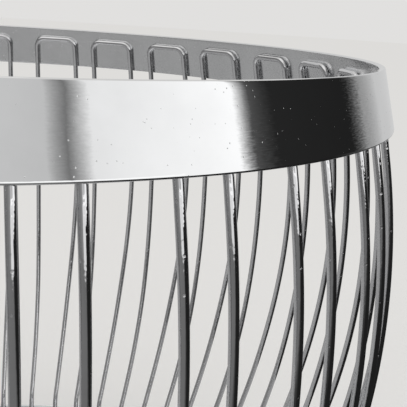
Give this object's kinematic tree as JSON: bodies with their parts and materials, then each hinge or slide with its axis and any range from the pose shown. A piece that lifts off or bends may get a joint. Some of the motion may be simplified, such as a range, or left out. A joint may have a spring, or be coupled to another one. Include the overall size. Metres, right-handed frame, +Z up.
{
  "type": "round wire basket",
  "caption": "Round open basket of hairpin wires bulging between a flat polished strip rim and a strip foot, with a flanged plate as its bottom.",
  "frame": {"origin": "centre of the underside, on the surface that the basket stands on", "axes": "+Z up along the axis of the round basket; -Y between hairpin_wire_01 and hairpin_wire_02, 1.5 degrees from the first, and the hairpins are numbered anticlockwise seen from above"},
  "size_m": [0.2696, 0.2696, 0.2],
  "materials": {
    "rim_band": "bright plated strip with fine scratches and pits",
    "wire": "bright plated wire",
    "base_band": "bright plated strip",
    "bottom_plate": "plated sheet with light scuffs"
  },
  "bodies": {
    "root": {"rim_band": "rim_band", "hairpin_wire_01": "wire", "hairpin_wire_02": "wire", "hairpin_wire_03": "wire", "hairpin_wire_04": "wire", "hairpin_wire_05": "wire", "hairpin_wire_06": "wire", "hairpin_wire_07": "wire", "hairpin_wire_08": "wire", "hairpin_wire_09": "wire", "hairpin_wire_10": "wire", "hairpin_wire_11": "wire", "hairpin_wire_12": "wire", "hairpin_wire_13": "wire", "hairpin_wire_14": "wire", "hairpin_wire_15": "wire", "hairpin_wire_16": "wire", "hairpin_wire_17": "wire", "hairpin_wire_18": "wire", "hairpin_wire_19": "wire", "hairpin_wire_20": "wire", "hairpin_wire_21": "wire", "hairpin_wire_22": "wire", "hairpin_wire_23": "wire", "hairpin_wire_24": "wire", "hairpin_wire_25": "wire", "hairpin_wire_26": "wire", "hairpin_wire_27": "wire", "base_band": "base_band", "bottom_plate": "bottom_plate"}
  },
  "joints": []
}
